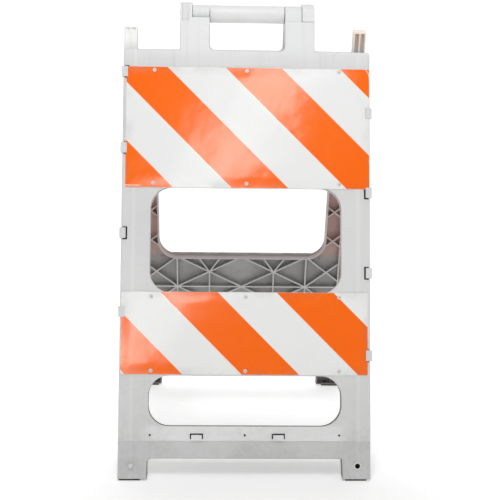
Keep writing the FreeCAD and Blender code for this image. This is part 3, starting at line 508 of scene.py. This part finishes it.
# ---- properties a user would change ----
class BARRICADE_PG_look(bpy.types.PropertyGroup):
    """Colours and wear of the surfaces."""

    plastic: FloatVectorProperty(
        name="Plastic", description="Leg plastic where it is clean", subtype="COLOR", size=3, min=0,
        max=1, default=(0.668, 0.671, 0.666),
    )
    plastic_shade: FloatVectorProperty(
        name="Plastic shade", description="Leg plastic in its darker clouds", subtype="COLOR", size=3,
        min=0, max=1, default=(0.622, 0.625, 0.624),
    )
    plastic_aged: FloatVectorProperty(
        name="Aged plastic", description="Plastic where the sun has yellowed it", subtype="COLOR", size=3,
        min=0, max=1, default=(0.635, 0.630, 0.608),
    )
    dirt: FloatVectorProperty(
        name="Dirt", description="Road dust and grime", subtype="COLOR", size=3, min=0, max=1,
        default=(0.155, 0.145, 0.125),
    )
    # painted warm light inside, where daylight comes through the skin
    warm_inner_light: FloatVectorProperty(
        name="Warm dust", description="Dust inside, where daylight comes through the skin",
        subtype="COLOR", size=3, min=0, max=1, default=(0.42, 0.235, 0.20),
    )
    # mud and painted shade inside the feet, the bottom rail and the pockets
    foot_dirt_and_shade: FloatVectorProperty(
        name="Foot dirt", description="Mud inside the feet and the bottom rail", subtype="COLOR", size=3,
        min=0, max=1, default=(0.075, 0.045, 0.038),
    )
    orange: FloatVectorProperty(
        name="Orange sheeting", description="Orange stripes when new", subtype="COLOR", size=3, min=0,
        max=1, default=(1.0, 0.143, 0.0),
    )
    orange_faded: FloatVectorProperty(
        name="Faded orange", description="Orange stripes where they have faded", subtype="COLOR", size=3,
        min=0, max=1, default=(1.0, 0.165, 0.0),
    )
    white: FloatVectorProperty(
        name="White sheeting", description="White stripes when new", subtype="COLOR", size=3, min=0,
        max=1, default=(0.825, 0.832, 0.818),
    )
    white_faded: FloatVectorProperty(
        name="Greyed white", description="White stripes where they have greyed", subtype="COLOR", size=3,
        min=0, max=1, default=(0.795, 0.805, 0.802),
    )
    wear: FloatProperty(
        name="Wear", description="How worn and dirty the surfaces are", default=0.8, min=0, max=1,
        subtype="FACTOR",
    )
    # dust and painted shade: how dark the legs' hollow backs are painted
    inner_dust_and_shade: FloatProperty(
        name="Dust inside", description="How dusty the legs' hollow backs are", default=0.85, min=0,
        max=1, subtype="FACTOR",
    )
    ripple: FloatProperty(
        name="Board ripple", description="How much the boards ripple their reflections", default=1.6,
        min=0, max=4,
    )


class BARRICADE_PG_trim(bpy.types.PropertyGroup):
    """Sizes of the small trim."""

    pocket_depth: FloatProperty(
        name="Pocket depth", description="Depth of the pockets behind the slots and holes", default=0.012,
        unit="LENGTH",
    )
    pocket_inset: FloatProperty(
        name="Pocket inset", description="How far the pockets' rims lie below the leg's face",
        default=0.0006, unit="LENGTH",
    )
    pocket_wall: FloatProperty(
        name="Pocket wall", description="Wall of the pockets behind the slots and holes", default=0.0004,
        unit="LENGTH",
    )
    cup_radius: FloatProperty(
        name="Cup radius", description="Outer radius of the sleeves in the bottom rail's holes",
        default=0.00257, unit="LENGTH",
    )
    socket_radius: FloatProperty(
        name="Socket radius", description="Outer radius of the sleeve in the stacking socket",
        default=0.00615, unit="LENGTH",
    )
    segments: IntProperty(
        name="Roundness", description="Sides of the small round pieces", default=24, min=8, max=64,
    )


class BARRICADE_PG_stage(bpy.types.PropertyGroup):
    """Camera, lights and floor."""

    camera_place: FloatVectorProperty(
        name="Camera", description="Where the camera stands", subtype="TRANSLATION", unit="LENGTH",
        size=3, default=(-0.0695, -2.6825, 1.0782),
    )
    camera_target: FloatVectorProperty(
        name="Aim", description="What the camera looks at", subtype="TRANSLATION", unit="LENGTH", size=3,
        default=(0.0165, 0.0, 0.5008),
    )
    camera_roll: FloatProperty(
        name="Roll", description="How far the camera is tipped sideways", default=math.radians(0.881),
        subtype="ANGLE", unit="ROTATION",
    )
    lens: FloatProperty(
        name="Lens", description="Focal length on a 36 mm sensor, in millimetres", default=73.74, min=10,
        max=400,
    )
    floor_tone: FloatProperty(
        name="Floor", description="Brightness of the floor", default=0.86, min=0, max=1, subtype="FACTOR"
    )
    floor_glow: FloatProperty(
        name="Backdrop glow", description="How much the floor glows away from the object", default=0.55,
        min=0,
    )
    key: FloatProperty(
        name="Key light", description="Power of the main light, in watts", default=49.5, min=0,
    )
    fill: FloatProperty(
        name="Fill light", description="Power of the side light, in watts", default=10.0, min=0,
    )
    top: FloatProperty(
        name="Top light", description="Power of the overhead light, in watts", default=11.0, min=0,
    )
    sheen: FloatProperty(
        name="Sheen light", description="Power of the strip light that the boards mirror", default=14.0,
        min=0,
    )
    sheen_turn: FloatProperty(
        name="Sheen turn", description="How far the strip light leans over", default=math.radians(-28),
        subtype="ANGLE", unit="ROTATION",
    )
    sky: FloatProperty(
        name="Surroundings", description="Brightness of the plain surroundings", default=0.18, min=0,
    )


# ---- helpers for new pieces ----
def new_piece(name, mesh, material, body):
    """Mesh object made from a bmesh, finished and riding on a body."""
    data = bpy.data.meshes.new(name)
    mesh.normal_update()
    mesh.to_mesh(data)
    mesh.free()
    piece = bpy.data.objects.new(name, data)
    bpy.context.scene.collection.objects.link(piece)
    data.materials.append(material)
    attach(piece, body)


def dress(node, material):
    """Gives a CAD node its material."""
    for slot in frame["nodes"][node].material_slots:
        slot.material = material


# ---- operators ----
class BARRICADE_OT_legs(bpy.types.Operator):
    """Finish both moulded legs"""

    bl_idname = "barricade.legs"
    bl_label = "Legs"

    def execute(self, context):
        look = context.scene.barricade_look
        for side, leg in LEGS.items():
            dress(side + "_leg", moulded_plastic(side + "_leg_plastic", leg, look))
        return {"FINISHED"}


class BARRICADE_OT_boards(bpy.types.Operator):
    """Finish the boards and their reflective sheeting"""

    bl_idname = "barricade.boards"
    bl_label = "Boards and sheeting"

    def execute(self, context):
        look = context.scene.barricade_look
        edge = sheet_plastic("board_plastic", look)
        for side, leg in LEGS.items():
            for board in BOARDS:
                stem = f"{side}_{board}_"
                dress(stem + "board", edge)
                white = sheeting(stem + "white", leg, board, look.white, look.white_faded, 0.2, look)
                orange = sheeting(stem + "orange", leg, board, look.orange, look.orange_faded, 0.8, look)
                dress(stem + "white_sheeting", white)
                dress(stem + "orange_sheeting", orange)
        return {"FINISHED"}


class BARRICADE_OT_rivets(bpy.types.Operator):
    """Finish the rivets and their mandrels"""

    bl_idname = "barricade.rivets"
    bl_label = "Rivets"

    def execute(self, context):
        body = dull_metal("rivet_aluminium", (0.70, 0.67, 0.65), (0.40, 0.35, 0.33), 0.3, 0.42, 0.2, 0.6)
        stem = dull_metal("mandrel_steel", (0.36, 0.34, 0.33), (0.16, 0.09, 0.05), 0.9, 0.42, 0.1, 0.8)
        for side in SIDES:
            for board in BOARDS:
                dress(f"{side}_{board}_rivets", body)
                dress(f"{side}_{board}_rivet_mandrels", stem)
        return {"FINISHED"}


class BARRICADE_OT_hinge(bpy.types.Operator):
    """Finish the hinge rod, its caps and the hand grip"""

    bl_idname = "barricade.hinge"
    bl_label = "Hinge and grip"

    def execute(self, context):
        look = context.scene.barricade_look
        dress("handle_grip", worn_grip("grip_plastic", look))
        rod = dull_metal("rod_steel", (0.62, 0.61, 0.60), (0.30, 0.28, 0.25), 1.0, 0.30, 1.0, 0.5)
        cap = dull_metal("cap_steel", (0.66, 0.65, 0.62), (0.34, 0.30, 0.26), 1.0, 0.28, 0.6, 0.6)
        dress("hinge_rod", rod)
        dress("hinge_rod_caps", cap)
        return {"FINISHED"}


class BARRICADE_OT_feet(bpy.types.Operator):
    """Finish the rubber foot pads"""

    bl_idname = "barricade.feet"
    bl_label = "Foot pads"

    def execute(self, context):
        rubber = ground_rubber("pad_rubber", context.scene.barricade_look)
        for side in SIDES:
            dress(side + "_foot_pads", rubber)
        return {"FINISHED"}


class BARRICADE_OT_pockets(bpy.types.Operator):
    """Make dark closed pockets behind the clips' slots and the bottom rail's holes, as painted shade seen
    through them
    """

    bl_idname = "barricade.pockets"
    bl_label = "Pockets"

    def execute(self, context):
        trim = context.scene.barricade_trim
        # painted shade: the pockets are near black so the slots and holes look dark
        grime = pocket_shade_plastic("pocket_shade", context.scene.barricade_look)
        for side, leg in LEGS.items():
            mesh = bmesh.new()
            for across, down, half_across, half_down in slot_places():
                add_tray(mesh, across, down, half_across, half_down, trim)
            for across in HOLE_PLACES:
                add_cup(mesh, (across, -HOLE_DOWN, FACE_OUT - trim.pocket_inset), trim.cup_radius, trim)
            collar = FACE_OUT - STEP_DEPTH + COLLAR - trim.pocket_inset
            add_cup(mesh, (SOCKET_PLACE[0], -SOCKET_PLACE[1], collar), trim.socket_radius, trim)
            bmesh.ops.transform(mesh, matrix=leg.turn(), verts=mesh.verts)
            new_piece(side + "_slot_pockets", mesh, grime, leg.body)
        return {"FINISHED"}


def slot_places():
    """(across, down, half width, half height) of every clip's slot."""
    half = CLIP_LENGTH / 2
    places = []
    for side, shares in ((-1, LEFT_CLIPS), (1, RIGHT_CLIPS)):
        for share in shares:
            places.append((side * (HALF_WIDTH - SLOT_MIDDLE), share * LEG_LENGTH, SLOT_HALF, half))
    for across in RAIL_CLIPS:
        places.append((across, RAIL_CLIP_DOWN, half, RAIL_CLIP_HEIGHT / 2))
    return places


def add_tray(mesh, across, down, half_across, half_down, trim):
    """Open box that lines a slot and is closed behind it."""
    out = FACE_OUT - trim.pocket_inset
    depth = trim.pocket_depth
    box = bmesh.ops.create_cube(mesh, size=1.0)["verts"]
    size = Matrix.Diagonal((2 * (half_across - SLOT_PLAY), 2 * (half_down - SLOT_PLAY), depth, 1.0))
    place = Matrix.Translation((across, -down, out - depth / 2))
    bmesh.ops.transform(mesh, matrix=place @ size, verts=box)
    mouth = [face for face in set(face for v in box for face in v.link_faces) if face.normal.z > 0.5]
    hollow_out(mesh, mouth, trim)


def add_cup(mesh, mouth_at, radius, trim):
    """Round sleeve that lines a hole and is closed behind it."""
    place = Matrix.Translation(Vector(mouth_at) - Vector((0, 0, trim.pocket_depth / 2)))
    cup = bmesh.ops.create_cone(
        mesh, cap_ends=True, segments=trim.segments, radius1=radius, radius2=radius,
        depth=trim.pocket_depth, matrix=place,
    )["verts"]
    mouth = [face for face in set(face for v in cup for face in v.link_faces) if face.normal.z > 0.5]
    hollow_out(mesh, mouth, trim)


def hollow_out(mesh, mouth, trim):
    """Opens a closed shape at its mouth and gives its walls their thickness, inside the shape."""
    bmesh.ops.inset_region(mesh, faces=mouth, thickness=trim.pocket_wall, use_even_offset=True)
    bottom = bmesh.ops.extrude_face_region(mesh, geom=mouth)["geom"]
    moved = [v for v in bottom if isinstance(v, bmesh.types.BMVert)]
    bmesh.ops.translate(mesh, vec=(0, 0, trim.pocket_wall - trim.pocket_depth), verts=moved)
    bmesh.ops.delete(mesh, geom=mouth, context="FACES_ONLY")


def pocket_shade_plastic(name, look):
    """Near-black plastic with brown dust, painted shade for the pockets behind the slots and holes."""
    paint = Paint(name)
    crust = paint.noise(0.004, 4.0, 0.65)
    colour = paint.mix(paint.ramp(crust, 0.45, 0.80) * 0.35, (0.022, 0.011, 0.010), look.foot_dirt_and_shade)
    normal = paint.bump(crust, 0.4 * MM, 0.7)
    return paint.finish(base_color=colour, roughness=0.75 + 0.15 * crust, normal=normal, ior=1.5)


class BARRICADE_OT_stage(bpy.types.Operator):
    """Make the floor, lights and camera"""

    bl_idname = "barricade.stage"
    bl_label = "Stage"

    def execute(self, context):
        stage = context.scene.barricade_stage
        make_floor(stage)
        make_lights(stage)
        make_camera(stage)
        return {"FINISHED"}


def make_floor(stage):
    """Pale floor that curves up far behind the object, glowing less round the object as a painted shadow."""
    size = 7.0
    bend = 1.6
    behind = 1.8
    mesh = bmesh.new()
    bmesh.ops.create_grid(mesh, x_segments=1, y_segments=1, size=size)
    bmesh.ops.translate(mesh, vec=(0, behind - size, 0), verts=mesh.verts)
    back = [edge for edge in mesh.edges if all(v.co.y > 0 for v in edge.verts)]
    pivot = Vector((0, behind, bend))
    bmesh.ops.spin(
        mesh, geom=back, cent=pivot, axis=(1, 0, 0), angle=math.radians(90), steps=24, use_duplicate=False
    )
    top = [edge for edge in mesh.edges if all(v.co.z > bend - MM for v in edge.verts)]
    wall = bmesh.ops.extrude_edge_only(mesh, edges=top)["geom"]
    raised = [v for v in wall if isinstance(v, bmesh.types.BMVert)]
    bmesh.ops.translate(mesh, vec=(0, 0, size), verts=raised)
    data = bpy.data.meshes.new("floor")
    mesh.normal_update()
    mesh.to_mesh(data)
    mesh.free()
    floor = bpy.data.objects.new("floor", data)
    for polygon in data.polygons:
        polygon.use_smooth = True
    bpy.context.scene.collection.objects.link(floor)
    paint = Paint("studio_floor")
    tone = stage.floor_tone
    across = paint.along(Vector((1, 0, 0)), Vector())
    behind_feet = paint.along(Vector((0, 1, 0)), Vector((0, CAD_BOX[0].y - 0.09, 0)))
    # painted shadow: the floor's glow is dimmed round the feet
    glow = paint.ramp(paint.reach(across * 0.45 - 0.02, behind_feet), 0.08, 0.42, 0.40, 1.0)
    data.materials.append(paint.finish(
        base_color=(tone, tone, tone), roughness=0.9, specular_ior_level=0.1,
        emission_color=paint.vector(glow, glow, glow), emission_strength=stage.floor_glow,
    ))


def make_lights(stage):
    """Soft lights: key high at the front, fill at the right, one overhead, a sheen strip; pale surround."""
    places = (
        ("key", stage.key, (1.4, 1.3), (-0.35, -2.2, 3.65), 0),
        ("fill", stage.fill, (1.8, 2.0), (2.6, -2.2, 1.5), 0),
        ("top", stage.top, (1.6, 1.6), (0.1, -0.2, 2.9), 0),
        ("sheen", stage.sheen, (0.34, 2.4), (-0.13, -2.80, 1.86), stage.sheen_turn),
    )
    middle = (CAD_BOX[0] + CAD_BOX[1]) / 2
    for name, power, size, place, turn in places:
        data = bpy.data.lights.new(name, "AREA")
        data.energy = power
        data.shape = "RECTANGLE"
        data.size, data.size_y = size
        light = bpy.data.objects.new(name, data)
        light.location = place
        aim = (middle - Vector(place)).to_track_quat("-Z", "Y")
        light.rotation_euler = (aim @ Quaternion((0, 0, 1), turn)).to_euler()
        bpy.context.scene.collection.objects.link(light)
    world = bpy.data.worlds.new("surround")
    world.use_nodes = True
    background = world.node_tree.nodes["Background"]
    background.inputs["Color"].default_value = (1.0, 1.0, 1.0, 1.0)
    background.inputs["Strength"].default_value = stage.sky
    bpy.context.scene.world = world


def make_camera(stage):
    """Camera in front of the object, a little above the middle and looking down at it."""
    place = Vector(stage.camera_place)
    data = bpy.data.cameras.new("camera")
    data.sensor_width = 36.0
    data.lens = stage.lens
    camera = bpy.data.objects.new("camera", data)
    aim = (Vector(stage.camera_target) - place).to_track_quat("-Z", "Y").to_matrix().to_4x4()
    camera.matrix_world = Matrix.Translation(place) @ aim @ Matrix.Rotation(stage.camera_roll, 4, "Z")
    bpy.context.scene.collection.objects.link(camera)
    bpy.context.scene.camera = camera
    bpy.context.scene.view_settings.view_transform = "Standard"


class BARRICADE_PT_panel(bpy.types.Panel):
    """Lists the barricade's pieces and settings"""

    bl_label = "Barricade"
    bl_idname = "BARRICADE_PT_panel"
    bl_space_type = "VIEW_3D"
    bl_region_type = "UI"
    bl_category = "Barricade"

    def draw(self, context):
        for step in STEPS:
            self.layout.operator(step.bl_idname)
        for group_name, group in GROUPS.items():
            box = self.layout.box()
            for name in group.__annotations__:
                box.prop(getattr(context.scene, group_name), name)


STEPS = (
    BARRICADE_OT_stage, BARRICADE_OT_legs, BARRICADE_OT_boards, BARRICADE_OT_rivets, BARRICADE_OT_hinge,
    BARRICADE_OT_feet, BARRICADE_OT_pockets,
)
GROUPS = {
    "barricade_look": BARRICADE_PG_look,
    "barricade_trim": BARRICADE_PG_trim,
    "barricade_stage": BARRICADE_PG_stage,
}


def register():
    for group_name, group in GROUPS.items():
        bpy.utils.register_class(group)
        setattr(bpy.types.Scene, group_name, PointerProperty(type=group))
    for step in STEPS:
        bpy.utils.register_class(step)
    bpy.utils.register_class(BARRICADE_PT_panel)


def unregister():
    bpy.utils.unregister_class(BARRICADE_PT_panel)
    for step in reversed(STEPS):
        bpy.utils.unregister_class(step)
    for group_name, group in GROUPS.items():
        delattr(bpy.types.Scene, group_name)
        bpy.utils.unregister_class(group)


def main():
    """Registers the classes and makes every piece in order."""
    register()
    for step in STEPS:
        area, action = step.bl_idname.split(".")
        getattr(getattr(bpy.ops, area), action)()


if __name__ == "__main__":
    main()
